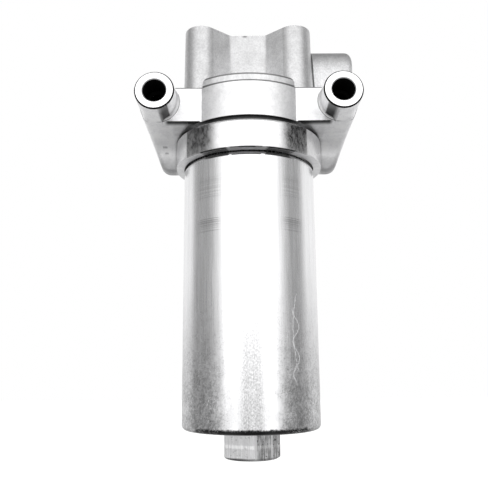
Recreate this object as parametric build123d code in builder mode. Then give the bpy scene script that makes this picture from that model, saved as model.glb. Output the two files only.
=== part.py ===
from build123d import *
import math
import os

os.makedirs("parts", exist_ok=True)

# Pilot-line filter: cast head with two front ports, screwed bowl, filter element and bypass valve.
# Millimetres, +Z up. Origin: centre of the head's flat top mounting face.
# The two ports look along -Y, the valve boss along +X, the bowl hangs along -Z.
# Heights written with up() are measured from the collar's bottom face.

# ---------------------------------------------------------------- driving dimensions
head_h = 74.0            # top face down to the collar's bottom face

collar_r = 39.5
collar_h = 14.8
neck_groove_r = 35.4     # groove between the collar and the round body
drum_r = 37.2
pad_r = 40.0             # front and back of the raised pad under the mounting block
pad_y = 36.5
pad_x = 23.6
pad_top = 40.4

wing_y = 28.3            # half depth of the port bar
wing_low = 17.6
wing_top = 36.2
gusset_deg = 20.0        # taper of the bar's ends, from vertical
gusset_y = 6.6           # back edge of the gussets' flat foot
gusset_knee = 15.4
gusset_corner = 6.0
gusset_round = 13.0      # sweep from the bar's underside into the gussets' front
gusset_edge = 3.0

port_x = 46.6
port_h = 28.65
port_r = 9.9
port_face_y = 41.9
port_chamfer = 0.7
port_thread_r = 5.72     # G 1/4 core hole
port_thread_len = 13.0
passage_r = 4.0
root_fillet = 1.9

bolt_x = 25.0            # four M8 holes in the top face, 50 x 30
bolt_y = 15.0
bolt_core_r = 3.4
bolt_depth = 18.0
lobe_r = 9.0
recess_y = 13.6
recess_x = 9.7
block_draft = 0.7

boss_r = 11.0            # valve boss on the right-hand side
boss_h = 58.2
boss_x = 58.0
boss_root = 2.5
boss_skirt_x = 53.5      # straight-sided skirt from the boss down to the port bar
boss_skirt_y = 10.9

mouth_r = 35.05          # countersunk mouth for the bowl
thread_r = 33.42         # M68 x 2, drawn at its pitch cylinder
seal_r = 31.0
seal_groove_r = 33.1
seal_groove_low = 16.2
seal_groove_top = 20.4
ceiling = 22.0
spigot_r = 10.0          # integral spigot that carries the element
spigot_low = 8.0
spigot_step_r = 12.5
spigot_step = 19.0
spigot_hole_r = 6.0
feed_x = -22.0           # drilling from the inlet down to the bowl and up to the bypass
cross_r = 3.6            # cross drillings along X, closed by expander plugs
closure_r = 4.0
closure_in_x = 50.4
closure_out_x = 56.0
closure_ball_r = 2.1

bowl_r = 35.0
bowl_in_r = 28.5
bowl_shoulder = -0.5
bowl_low = -135.2
bowl_floor = -127.2
bowl_corner = 2.5
neck_r = 33.9
neck_thread_r = 33.35
neck_pilot_r = 30.93
neck_top = 21.6          # 0.4 short of the ceiling: screwed home, then backed off a fifth of a turn
hex_af = 27.0
hex_low = -149.2
hex_turn = 34.0          # degrees; one corner of the hexagon looks forwards

element_r = 24.5
element_top = 17.0
element_low = -98.0
cap_t = 0.9
hub_r = 13.2
hub_top = 18.95
core_t = 0.8
core_hole_r = 2.4
media_in_r = 14.9
media_out_r = 23.4
media_t = 0.7
pleats = 44

spring_r = 13.4
spring_wire = 1.0
spring_turns = 5

valve_r = 5.0            # bypass valve bore, along X at boss_h
seat_x = -8.0            # sealing edge of the bypass seat
seat_len = 6.0
seat_hole_r = 3.2
poppet_r = 4.92
poppet_end_x = 8.0
poppet_pocket_x = 0.0
valve_spring_r = 3.05
valve_spring_wire = 0.5
valve_spring_turns = 10
plug_bore_r = 6.5        # M14 x 1.5
plug_key_af = 7.0
plug_face_x = 57.0
plug_len = 11.0
plug_nose_x = 27.0
shim_t = 1.0


def up(h):
    return h - head_h


def section(points):
    """(radius, height above the collar's bottom face) to points in the XZ plane."""
    return [(r, up(h)) for r, h in points]


def valve_section(points):
    """(x, radius about the valve axis) to points in the XZ plane."""
    return [(x, up(boss_h) + r) for x, r in points]


valve_axis = Axis((0, 0, up(boss_h)), (1, 0, 0))


# ---------------------------------------------------------------- head casting
# Port bar with its gussets: front outline and side outline, crossed.
tilt = math.radians(gusset_deg)
end_top = port_x + math.sqrt(port_r**2 - (wing_top - port_h) ** 2)
tangent = (port_x + port_r * math.cos(tilt), port_h - port_r * math.sin(tilt))
foot_x = tangent[0] - math.tan(tilt) * tangent[1]

with BuildPart() as bar:
    with BuildSketch(Plane.XZ) as bar_front:
        with BuildLine():
            top = Line((0, up(wing_top)), (end_top, up(wing_top)))
            cap = ThreePointArc(
                top @ 1, (port_x + port_r, up(port_h)), (tangent[0], up(tangent[1]))
            )
            side = Line(cap @ 1, (foot_x, up(0)))
            foot = Line(side @ 1, (0, up(0)))
            Line(foot @ 1, top @ 0)
        make_face()
        fillet(
            bar_front.vertices().sort_by_distance((foot_x, up(0), 0))[0], gusset_corner
        )
        mirror(about=Plane.YZ)
    extrude(amount=wing_y, both=True)
    with BuildSketch(Plane.YZ) as bar_side:
        Polygon(
            (-wing_y, up(wing_top + 1)),
            (-wing_y, up(wing_low)),
            (-gusset_y - 0.6, up(gusset_knee)),
            (-0.6, up(0)),
            (gusset_y, up(0)),
            (2 * gusset_y, up(gusset_knee)),
            (wing_y, up(wing_low)),
            (wing_y, up(wing_top + 1)),
            align=None,
        )
        fillet(bar_side.vertices().group_by(Axis.Y)[1], gusset_round)
    extrude(amount=80, both=True, mode=Mode.INTERSECT)
    # cast radius along the gussets' outer edges
    low_edges = bar.edges().filter_by(lambda e: e.center().Z < up(wing_low) + 0.2)
    straight_back = low_edges.filter_by(lambda e: abs(e.tangent_at(0.5).Y) > 0.999)
    knees = low_edges.filter_by(
        lambda e: abs(e.tangent_at(0.5).X) > 0.999 and e.center().Z > up(0.5)
    )
    fillet([e for e in low_edges if e not in straight_back and e not in knees], gusset_edge)

# Concave root where each port tube leaves the bar's front face. The ring's ends lie a little
# inside the tube and the bar, and it stops inside the tube on the outer side.
sunk = 0.15
sweep_r = root_fillet + 2 * sunk
ring_r = port_r + root_fillet + sunk
ring_y = wing_y + root_fillet + sunk
with BuildPart() as roots:
    for sign in (-1, 1):
        with BuildSketch(Plane.XY.offset(up(port_h))):
            with BuildLine():
                Polyline(
                    (sign * port_x, -wing_y + 1),
                    (sign * (port_x - ring_r), -wing_y + 1),
                    (sign * (port_x - ring_r), sweep_r - ring_y),
                )
                ThreePointArc(
                    (sign * (port_x - ring_r), sweep_r - ring_y),
                    (
                        sign * (port_x - ring_r + sweep_r * math.sqrt(0.5)),
                        -ring_y + sweep_r * math.sqrt(0.5),
                    ),
                    (sign * (port_x - ring_r + sweep_r), -ring_y),
                )
                Polyline(
                    (sign * (port_x - ring_r + sweep_r), -ring_y),
                    (sign * port_x, -ring_y),
                    (sign * port_x, -wing_y + 1),
                )
            make_face()
        revolve(axis=Axis((sign * port_x, 0, up(port_h)), (0, 1, 0)))
    with BuildSketch(Plane.XZ):
        Polygon(
            (0, up(wing_top) - 0.15),
            (port_x + 5.0, up(wing_top) - 0.15),
            (port_x + 5.0, up(port_h)),
            (port_x - 3.0, up(wing_low) + 0.25),
            (0, up(wing_low) + 0.25),
            align=None,
        )
        mirror(about=Plane.YZ)
    extrude(amount=80, both=True, mode=Mode.INTERSECT)

# Mounting block: four rounded columns joined by flats, with a little draft.
draft_gain = math.tan(math.radians(block_draft)) * (head_h - wing_top + 2)
lobe_turn = math.radians(41)
r_low = lobe_r + draft_gain
flank = (bolt_x - r_low * math.sin(lobe_turn), bolt_y + r_low * math.cos(lobe_turn))
with BuildPart() as block:
    with BuildSketch(Plane.XY.offset(up(wing_top - 2))) as block_plan:
        with BuildLine():
            l1 = Line((0, -recess_y - draft_gain), (recess_x - draft_gain, -recess_y - draft_gain))
            l2 = Line(l1 @ 1, (flank[0], -flank[1]))
            l3 = ThreePointArc(
                l2 @ 1, (bolt_x, -bolt_y - r_low), (bolt_x + r_low, -bolt_y)
            )
            l4 = Line(l3 @ 1, (bolt_x + r_low, 0))
            l5 = Line(l4 @ 1, (0, 0))
            Line(l5 @ 1, l1 @ 0)
        make_face()
        fillet(
            block_plan.vertices().sort_by_distance((recess_x, -recess_y, 0))[0],
            2.5,
        )
        mirror(about=Plane.YZ)
        mirror(about=Plane.XZ)
    extrude(amount=head_h - wing_top + 2, taper=block_draft)

with BuildPart() as boss:
    with BuildSketch(Plane.YZ.offset(10)):
        with Locations((0, up(boss_h))):
            Circle(boss_r)
    extrude(amount=boss_x - 10)
    fillet(boss.edges().filter_by(GeomType.CIRCLE).sort_by(Axis.X)[-1], 4.0)
    # flared root, its ends a little inside the block's flank and the boss
    flare_r = boss_root + 0.5
    flare_x = bolt_x + lobe_r - 0.1
    with BuildSketch(Plane.XZ):
        with BuildLine():
            Polyline(
                *valve_section([
                    (flare_x + flare_r, 0),
                    (20, 0),
                    (20, boss_r + flare_r - 0.2),
                    (flare_x, boss_r + flare_r - 0.2),
                ])
            )
            ThreePointArc(
                *valve_section([
                    (flare_x, boss_r + flare_r - 0.2),
                    (
                        flare_x + flare_r * (1 - math.sqrt(0.5)),
                        boss_r - 0.2 + flare_r * (1 - math.sqrt(0.5)),
                    ),
                    (flare_x + flare_r, boss_r - 0.2),
                ])
            )
            Line(*valve_section([(flare_x + flare_r, boss_r - 0.2), (flare_x + flare_r, 0)]))
        make_face()
    revolve(axis=valve_axis)
    # skirt: the boss's sides run straight down into the bar
    with BuildSketch(Plane.XY.offset(up(wing_top - 1.0))):
        with Locations(((10 + boss_skirt_x) / 2, 0)):
            RectangleRounded(boss_skirt_x - 10, 2 * boss_skirt_y, 3.0)
    extrude(amount=boss_h - wing_top + 1.0)

with BuildPart() as tubes:
    with BuildSketch(Plane.XZ.offset(wing_y - 8)):
        with Locations((-port_x, up(port_h)), (port_x, up(port_h))):
            Circle(port_r)
    extrude(amount=port_face_y - wing_y + 8)
    chamfer(tubes.faces().group_by(Axis.Y)[0].edges(), port_chamfer)

# Under each port tube the casting runs out of the tube into the gusset without a step.
ends = [math.radians(a) for a in (-135, -100, -78, -66, -56, -45, -20)]
tube_end = [
    (port_x + (port_r - 0.15) * math.cos(a), port_h + (port_r - 0.15) * math.sin(a)) for a in ends
]
gusset_end = [
    tube_end[0],
    (tube_end[0][0] + tube_end[0][1] - wing_low + 0.35, wing_low - 0.35),
    (50.4, wing_low - 0.35),
    (51.9, wing_low - 0.05),
    (52.9, wing_low + 0.65),
    (53.6, wing_low + 1.75),
    tube_end[-1],
]
with BuildPart() as runout:
    for sign in (-1, 1):
        for y, outline in ((39.5, tube_end), (27.0, gusset_end), (21.0, gusset_end)):
            with BuildSketch(Plane.XZ.offset(y)):
                Polygon(
                    *[(sign * x, up(h)) for x, h in [(port_x, port_h)] + outline], align=None
                )
        loft(ruled=True)

with BuildPart() as pad:
    with BuildSketch(Plane.XY.offset(up(wing_top))):
        with Locations((0, pad_r - pad_y)):
            Circle(pad_r)
        with Locations((0, pad_y - pad_r)):
            Circle(pad_r, mode=Mode.INTERSECT)
        Rectangle(2 * pad_x, 100, mode=Mode.INTERSECT)
    extrude(amount=pad_top - wing_top)
    fillet(pad.edges().filter_by(Axis.Y).group_by(Axis.Z)[-1], 2.4)

with BuildPart() as head:
    add(bar.part)
    with BuildSketch(Plane.XY.offset(up(0))):
        Circle(neck_groove_r)
    extrude(amount=wing_top)
    with BuildSketch(Plane.XY.offset(up(wing_low))):
        Circle(drum_r)
    extrude(amount=wing_top - wing_low)
    # collar ring with a rounded top edge
    with BuildSketch(Plane.XZ):
        with BuildLine():
            Polyline(
                *section([(33, collar_h), (33, 0), (collar_r - 0.5, 0), (collar_r, 0.5), (collar_r, collar_h - 1.4)])
            )
            ThreePointArc(
                *section([
                    (collar_r, collar_h - 1.4),
                    (collar_r - 1.4 + 1.4 * math.sqrt(0.5), collar_h - 1.4 + 1.4 * math.sqrt(0.5)),
                    (collar_r - 1.4, collar_h),
                ])
            )
            Line(*section([(collar_r - 1.4, collar_h), (33, collar_h)]))
        make_face()
    revolve(axis=Axis.Z)
    add(pad.part)
    add(block.part)
    add(boss.part)
    add(tubes.part)
    add(roots.part)
    add(runout.part)
    # mouth: lead-in, thread, run-out groove, seal bore with its groove, and the spigot
    with BuildSketch(Plane.XZ):
        Polygon(
            *section([
                (0, -1),
                (mouth_r + 1, -1),
                (thread_r, mouth_r - thread_r),
                (thread_r, 13.0),
                (34.2, 13.4),
                (34.2, 14.5),
                (seal_r + 0.5, 14.5),
                (seal_r, 15.0),
                (seal_r, seal_groove_low),
                (seal_groove_r, seal_groove_low),
                (seal_groove_r, seal_groove_top),
                (seal_r, seal_groove_top),
                (seal_r, ceiling),
                (spigot_step_r, ceiling),
                (spigot_step_r, spigot_step),
                (spigot_r, spigot_step),
                (spigot_r, spigot_low + 1.0),
                (spigot_r - 0.6, spigot_low),
                (0, spigot_low),
            ]),
            align=None,
        )
    revolve(axis=Axis.Z, mode=Mode.SUBTRACT)

    # outlet drilling up the spigot into the valve bore
    with BuildSketch(Plane.XY.offset(up(spigot_low) - 1)):
        Circle(spigot_hole_r)
    extrude(amount=boss_h - spigot_low, mode=Mode.SUBTRACT)
    # feed drilling
    with BuildSketch(Plane.XY.offset(up(ceiling) - 1)):
        with Locations((feed_x, 0)):
            Circle(passage_r)
    extrude(amount=boss_h - ceiling, mode=Mode.SUBTRACT)
    # valve bore, stepped, with the plug's thread at its mouth
    with BuildSketch(Plane.XZ):
        Polygon(
            *valve_section([
                (boss_x + 0.5, 0),
                (boss_x + 0.5, plug_bore_r + 0.95),
                (boss_x - 0.45, plug_bore_r),
                (plug_face_x - plug_len, plug_bore_r),
                (plug_face_x - plug_len - 0.6, valve_r + 0.7),
                (plug_face_x - plug_len - 2.4, valve_r),
                (seat_x - seat_len, valve_r),
                (seat_x - seat_len, seat_hole_r),
                (feed_x - passage_r - 1.5, seat_hole_r),
                (feed_x - passage_r - 3.35, 0),
            ]),
            align=None,
        )
    revolve(axis=valve_axis, mode=Mode.SUBTRACT)
    # ports: G 1/4 thread, then the drilling back to the cross drilling
    for sign in (-1, 1):
        with BuildSketch(Plane.XY.offset(up(port_h))):
            Polygon(
                (sign * port_x, -port_face_y - 0.5),
                (sign * (port_x + port_thread_r + 1.0), -port_face_y - 0.5),
                (sign * (port_x + port_thread_r), -port_face_y + 0.5),
                (sign * (port_x + port_thread_r), -port_face_y + port_thread_len),
                (sign * (port_x + passage_r), -port_face_y + port_thread_len + 1.0),
                (sign * (port_x + passage_r), 0),
                (sign * port_x, 2.3),
                align=None,
            )
        revolve(axis=Axis((sign * port_x, 0, up(port_h)), (0, 1, 0)), mode=Mode.SUBTRACT)
    # cross drillings: left to the feed, right to the outlet, both opened out for their closures
    for x_in, x_out, r in (
        (feed_x, -60, cross_r),
        (0, 60, cross_r),
        (-closure_in_x, -60, closure_r),
        (closure_in_x, 60, closure_r),
    ):
        with BuildSketch(Plane.YZ.offset(x_in)):
            with Locations((0, up(port_h))):
                Circle(r)
        extrude(amount=x_out - x_in, mode=Mode.SUBTRACT)
    # four tapped holes in the mounting face
    with GridLocations(2 * bolt_x, 2 * bolt_y, 2, 2):
        Hole(bolt_core_r, bolt_depth)

head.part.label = "head"
export_step(head.part, "parts/head.step")

# ---------------------------------------------------------------- bowl and its seals
with BuildPart() as bowl:
    with BuildSketch(Plane.XZ) as bowl_section:
        Polygon(
            *section([
                (0, bowl_low),
                (bowl_r, bowl_low),
                (bowl_r, bowl_shoulder - 1.4),
                (neck_r, bowl_shoulder),
                (neck_thread_r, bowl_shoulder + neck_r - neck_thread_r),
                (neck_thread_r, 12.6),
                (neck_thread_r - 0.8, 13.4),
                (neck_pilot_r, 13.4),
                (neck_pilot_r, neck_top - 0.8),
                (neck_pilot_r - 0.5, neck_top),
                (bowl_in_r + 0.4, neck_top),
                (bowl_in_r, neck_top - 0.4),
                (bowl_in_r, bowl_floor),
                (0, bowl_floor),
            ]),
            align=None,
        )
        fillet(
            bowl_section.vertices().sort_by_distance((bowl_r, up(bowl_low), 0))[0], bowl_corner
        )
        fillet(
            bowl_section.vertices().sort_by_distance((bowl_in_r, up(bowl_floor), 0))[0], 4.0
        )
    revolve(axis=Axis.Z)
    # spanner hexagon under the bowl, its lower corners turned away
    with BuildSketch(Plane.XY.offset(up(bowl_low) + 1)):
        RegularPolygon(hex_af / 2, 6, major_radius=False, rotation=hex_turn)
    extrude(amount=hex_low - bowl_low - 1)
    with BuildSketch(Plane.XZ):
        Polygon(
            *section([
                (hex_af / 2 - 0.5, hex_low),
                (hex_af / 2 + 4.0, hex_low + 4.5 * math.tan(math.radians(30))),
                (hex_af / 2 + 4.0, hex_low - 1),
                (hex_af / 2 - 0.5, hex_low - 1),
            ]),
            align=None,
        )
    revolve(axis=Axis.Z, mode=Mode.SUBTRACT)
bowl.part.label = "bowl"
export_step(bowl.part, "parts/bowl.step")

# O-ring as it lies squeezed in its groove, and the backup ring under it
with BuildPart() as bowl_o_ring:
    with BuildSketch(Plane.XZ) as ring_section:
        Polygon(
            *section([(30.98, 17.62), (33.08, 17.62), (33.08, 20.36), (30.98, 20.36)]),
            align=None,
        )
        fillet(ring_section.vertices(), 0.85)
    revolve(axis=Axis.Z)
bowl_o_ring.part.label = "bowl_o_ring"
export_step(bowl_o_ring.part, "parts/bowl_o_ring.step")

with BuildPart() as bowl_backup_ring:
    with BuildSketch(Plane.XZ) as ring_section:
        Polygon(
            *section([(31.0, 16.25), (33.05, 16.25), (33.05, 17.6), (31.0, 17.6)]),
            align=None,
        )
        fillet(ring_section.vertices(), 0.12)
    revolve(axis=Axis.Z)
bowl_backup_ring.part.label = "bowl_backup_ring"
export_step(bowl_backup_ring.part, "parts/bowl_backup_ring.step")

# ---------------------------------------------------------------- filter element
with BuildPart() as element_top_cap:
    with BuildSketch(Plane.XZ):
        Polygon(
            *section([
                (spigot_r + 0.1, 8.0),
                (hub_r - 0.4, 8.0),
                (hub_r, 8.4),
                (hub_r, element_top - cap_t),
                (element_r - cap_t, element_top - cap_t),
                (element_r - cap_t, 10.0),
                (element_r, 10.0),
                (element_r, element_top - 0.4),
                (element_r - 0.4, element_top),
                (hub_r, element_top),
                (hub_r, hub_top - 0.4),
                (hub_r - 0.4, hub_top),
                (spigot_r + 0.6, hub_top),
                (spigot_r + 0.1, hub_top - 0.5),
                (spigot_r + 0.1, 14.1),
                (12.1, 14.1),
                (12.1, 11.5),
                (spigot_r + 0.1, 11.5),
            ]),
            align=None,
        )
    revolve(axis=Axis.Z)
element_top_cap.part.label = "element_top_cap"
export_step(element_top_cap.part, "parts/element_top_cap.step")

with BuildPart() as element_o_ring:
    with BuildSketch(Plane.XZ) as ring_section:
        Polygon(
            *section([(10.05, 11.6), (12.05, 11.6), (12.05, 14.0), (10.05, 14.0)]),
            align=None,
        )
        fillet(ring_section.vertices(), 0.8)
    revolve(axis=Axis.Z)
element_o_ring.part.label = "element_o_ring"
export_step(element_o_ring.part, "parts/element_o_ring.step")

# perforated core that carries the pleats
core_low = element_low + cap_t
with BuildPart() as core_tube:
    with BuildSketch(Plane.XY.offset(up(core_low))):
        Circle(hub_r + core_t)
        Circle(hub_r, mode=Mode.SUBTRACT)
    extrude(amount=element_top - cap_t - core_low)
    for turn in range(4):
        row_shift = 4.25 if turn % 2 else 0.0
        with BuildSketch(Plane.XZ.rotated((0, 0, 45 * turn))):
            with Locations((0, up(-43.0) + row_shift / 2)):
                with GridLocations(1, 8.5, 1, 11):
                    Circle(core_hole_r)
        extrude(amount=20, both=True, mode=Mode.SUBTRACT)
core_tube.part.label = "core_tube"
export_step(core_tube.part, "parts/core_tube.step")

# pleated media: one folded sheet, closed into a star
step = 2 * math.pi / pleats
outside = []
inside = []
for i in range(pleats):
    tip = i * step
    root = tip + step / 2
    for r, a in (
        (media_out_r, tip - media_t / media_out_r),
        (media_out_r, tip + media_t / media_out_r),
        (media_in_r + 1.0, root),
    ):
        outside.append((r * math.cos(a), r * math.sin(a)))
    for r, a in (
        (media_out_r - 1.0, tip),
        (media_in_r, root - 0.55 / media_in_r),
        (media_in_r, root + 0.55 / media_in_r),
    ):
        inside.append((r * math.cos(a), r * math.sin(a)))
with BuildPart() as pleated_media:
    with BuildSketch(Plane.XY.offset(up(core_low))):
        Polygon(*outside, align=None)
        Polygon(*inside, align=None, mode=Mode.SUBTRACT)
    extrude(amount=element_top - cap_t - core_low)
pleated_media.part.label = "pleated_media"
export_step(pleated_media.part, "parts/pleated_media.step")

with BuildPart() as element_bottom_cap:
    with BuildSketch(Plane.XZ):
        Polygon(
            *section([
                (0, element_low - 3.0),
                (11.1, element_low - 3.0),
                (11.5, element_low - 2.6),
                (11.5, element_low),
                (element_r - 0.4, element_low),
                (element_r, element_low + 0.4),
                (element_r, element_low + 7.0),
                (element_r - cap_t, element_low + 7.0),
                (element_r - cap_t, element_low + cap_t),
                (11.5 - cap_t, element_low + cap_t),
                (11.5 - cap_t, element_low - 3.0 + cap_t),
                (0, element_low - 3.0 + cap_t),
            ]),
            align=None,
        )
    revolve(axis=Axis.Z)
element_bottom_cap.part.label = "element_bottom_cap"
export_step(element_bottom_cap.part, "parts/element_bottom_cap.step")

# ---------------------------------------------------------------- element spring and its seat
seat_top = bowl_floor + 1.5
coil_low = seat_top + spring_wire + 0.02
coil_top = element_low - spring_wire - 0.05
with BuildPart() as element_spring:
    with BuildLine() as coil:
        Helix((coil_top - coil_low) / spring_turns, coil_top - coil_low, spring_r, center=(0, 0, up(coil_low)))
    with BuildSketch(Plane(origin=coil.line @ 0, z_dir=coil.line % 0)):
        Circle(spring_wire)
    sweep(is_frenet=True)
element_spring.part.label = "element_spring"
export_step(element_spring.part, "parts/element_spring.step")

with BuildPart() as spring_seat:
    with BuildSketch(Plane.XZ):
        Polygon(
            *section([
                (9.0, bowl_floor + 0.05),
                (16.6, bowl_floor + 0.05),
                (16.6, bowl_floor + 4.5),
                (15.1, bowl_floor + 4.5),
                (15.1, seat_top),
                (9.0, seat_top),
            ]),
            align=None,
        )
    revolve(axis=Axis.Z)
    chamfer(spring_seat.edges().group_by(Axis.Z)[-1], 0.4)
spring_seat.part.label = "spring_seat"
export_step(spring_seat.part, "parts/spring_seat.step")

# ---------------------------------------------------------------- bypass valve
with BuildPart() as bypass_seat:
    with BuildSketch(Plane.XZ):
        Polygon(
            *valve_section([
                (seat_x - seat_len, seat_hole_r + 0.5),
                (seat_x - seat_len + 0.5, seat_hole_r),
                (seat_x, seat_hole_r),
                (seat_x, valve_r),
                (seat_x - seat_len + 0.4, valve_r),
                (seat_x - seat_len, valve_r - 0.4),
            ]),
            align=None,
        )
    revolve(axis=valve_axis)
bypass_seat.part.label = "bypass_seat"
export_step(bypass_seat.part, "parts/bypass_seat.step")

# cup poppet: 45 degree cone on the seat's edge, spring pocket behind
nose_r = seat_hole_r - 0.05
with BuildPart() as bypass_poppet:
    with BuildSketch(Plane.XZ):
        Polygon(
            *valve_section([
                (seat_x - 2.0, 0),
                (seat_x - 2.0, nose_r - 2.0),
                (seat_x + poppet_r - nose_r, poppet_r),
                (poppet_end_x - 0.3, poppet_r),
                (poppet_end_x, poppet_r - 0.3),
                (poppet_end_x, valve_spring_r + 0.75),
                (poppet_pocket_x, valve_spring_r + 0.75),
                (poppet_pocket_x, 0),
            ]),
            align=None,
        )
    revolve(axis=valve_axis)
bypass_poppet.part.label = "bypass_poppet"
export_step(bypass_poppet.part, "parts/bypass_poppet.step")

turn_low = poppet_pocket_x + valve_spring_wire + 0.02
turn_top = plug_nose_x - shim_t - valve_spring_wire - 0.02
with BuildPart() as bypass_spring:
    with BuildLine() as coil:
        Helix(
            (turn_top - turn_low) / valve_spring_turns,
            turn_top - turn_low,
            valve_spring_r,
            center=(turn_low, 0, up(boss_h)),
            direction=(1, 0, 0),
        )
    with BuildSketch(Plane(origin=coil.line @ 0, z_dir=coil.line % 0)):
        Circle(valve_spring_wire)
    sweep(is_frenet=True)
bypass_spring.part.label = "bypass_spring"
export_step(bypass_spring.part, "parts/bypass_spring.step")

with BuildPart() as bypass_shim:
    with BuildSketch(Plane.YZ.offset(plug_nose_x - shim_t)):
        with Locations((0, up(boss_h))):
            Circle(4.5)
            Circle(2.0, mode=Mode.SUBTRACT)
    extrude(amount=shim_t)
bypass_shim.part.label = "bypass_shim"
export_step(bypass_shim.part, "parts/bypass_shim.step")

plug_groove_x = 40.0
with BuildPart() as bypass_plug:
    with BuildSketch(Plane.XZ):
        Polygon(
            *valve_section([
                (plug_nose_x, 0),
                (plug_nose_x, 4.4),
                (plug_nose_x + 0.5, 4.9),
                (plug_groove_x, 4.9),
                (plug_groove_x, 3.6),
                (plug_groove_x + 1.9, 3.6),
                (plug_groove_x + 1.9, 4.9),
                (43.3, 4.9),
                (43.3, 4.4),
                (plug_face_x - plug_len + 0.2, 4.4),
                (plug_face_x - plug_len + 0.2, 5.6),
                (plug_face_x - plug_len + 1.05, plug_bore_r - 0.05),
                (plug_face_x - 0.8, plug_bore_r - 0.05),
                (plug_face_x, plug_bore_r - 0.85),
                (plug_face_x, 0),
            ]),
            align=None,
        )
    revolve(axis=valve_axis)
    with BuildSketch(Plane.YZ.offset(plug_face_x)):
        with Locations((0, up(boss_h))):
            RegularPolygon(plug_key_af / 2, 6, major_radius=False, rotation=12)
    extrude(amount=-6.5, mode=Mode.SUBTRACT)
bypass_plug.part.label = "bypass_plug"
export_step(bypass_plug.part, "parts/bypass_plug.step")

with BuildPart() as plug_o_ring:
    with BuildSketch(Plane.XZ):
        with Locations((plug_groove_x + 0.95, up(boss_h) + 4.3)):
            Circle(0.68)
    revolve(axis=valve_axis)
plug_o_ring.part.label = "plug_o_ring"
export_step(plug_o_ring.part, "parts/plug_o_ring.step")

# ---------------------------------------------------------------- closures of the cross drillings
closure_axis = Axis((0, 0, up(port_h)), (1, 0, 0))


def closure_sleeve_section(sign):
    """Cup with its floor inwards, as (x, radius) about the cross drilling."""
    return [
        (sign * x, up(port_h) + r)
        for x, r in (
            (closure_in_x, 0),
            (closure_in_x, closure_r - 0.4),
            (closure_in_x + 0.4, closure_r),
            (closure_out_x, closure_r),
            (closure_out_x, closure_ball_r + 0.3),
            (closure_out_x - 0.3, closure_ball_r),
            (closure_in_x + 1.2, closure_ball_r),
            (closure_in_x + 1.2, 0),
        )
    ]


ball_x = closure_in_x + 1.25 + closure_ball_r
with BuildPart() as passage_sleeve_left:
    with BuildSketch(Plane.XZ):
        Polygon(*closure_sleeve_section(-1), align=None)
    revolve(axis=closure_axis)
passage_sleeve_left.part.label = "passage_sleeve_left"
export_step(passage_sleeve_left.part, "parts/passage_sleeve_left.step")

with BuildPart() as passage_sleeve_right:
    with BuildSketch(Plane.XZ):
        Polygon(*closure_sleeve_section(1), align=None)
    revolve(axis=closure_axis)
passage_sleeve_right.part.label = "passage_sleeve_right"
export_step(passage_sleeve_right.part, "parts/passage_sleeve_right.step")

with BuildPart() as passage_ball_left:
    with Locations((-ball_x, 0, up(port_h))):
        Sphere(closure_ball_r)
passage_ball_left.part.label = "passage_ball_left"
export_step(passage_ball_left.part, "parts/passage_ball_left.step")

with BuildPart() as passage_ball_right:
    with Locations((ball_x, 0, up(port_h))):
        Sphere(closure_ball_r)
passage_ball_right.part.label = "passage_ball_right"
export_step(passage_ball_right.part, "parts/passage_ball_right.step")
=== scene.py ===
import math

import bpy
from mathutils import Matrix, Vector


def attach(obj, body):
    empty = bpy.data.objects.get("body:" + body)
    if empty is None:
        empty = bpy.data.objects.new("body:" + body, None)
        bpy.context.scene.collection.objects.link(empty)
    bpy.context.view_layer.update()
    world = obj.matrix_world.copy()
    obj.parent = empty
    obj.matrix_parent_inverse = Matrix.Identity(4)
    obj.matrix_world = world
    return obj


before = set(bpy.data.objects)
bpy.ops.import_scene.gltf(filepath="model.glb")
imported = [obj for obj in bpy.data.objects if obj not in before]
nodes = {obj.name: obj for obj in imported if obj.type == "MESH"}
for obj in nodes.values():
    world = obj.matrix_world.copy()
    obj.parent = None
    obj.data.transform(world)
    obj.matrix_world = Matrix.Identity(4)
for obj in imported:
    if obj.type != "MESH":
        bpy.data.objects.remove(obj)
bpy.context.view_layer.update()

scene = bpy.context.scene
MM = 0.001
HEAD_H = 0.074          # top face down to the collar's bottom face


def up(h):
    """Height in mm above the collar's bottom face, as z in metres."""
    return h * MM - HEAD_H


# ------------------------------------------------------------------ camera
pitch, yaw, roll = 0.19993, 0.00244, -0.0081
forward = Vector((math.sin(yaw) * math.cos(pitch), math.cos(yaw) * math.cos(pitch), math.sin(pitch)))
right = Vector((math.cos(yaw), -math.sin(yaw), 0.0))
upward = right.cross(forward)
r2 = math.cos(roll) * right + math.sin(roll) * upward
u2 = -math.sin(roll) * right + math.cos(roll) * upward
cam_data = bpy.data.cameras.new("camera")
cam_data.sensor_width = 36.0
cam_data.lens = 600.0 / 488.0 * 36.0
cam_data.clip_start = 0.01
cam_data.clip_end = 20.0
camera = bpy.data.objects.new("camera", cam_data)
scene.collection.objects.link(camera)
camera.matrix_world = Matrix((
    (r2.x, u2.x, -forward.x, -3.7104 * MM),
    (r2.y, u2.y, -forward.y, -315.08945 * MM),
    (r2.z, u2.z, -forward.z, -178.12775 * MM),
    (0, 0, 0, 1),
))
scene.camera = camera
scene.view_settings.view_transform = "Standard"
scene.view_settings.look = "None"
scene.view_settings.exposure = 0.0
scene.view_settings.gamma = 1.0


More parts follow.
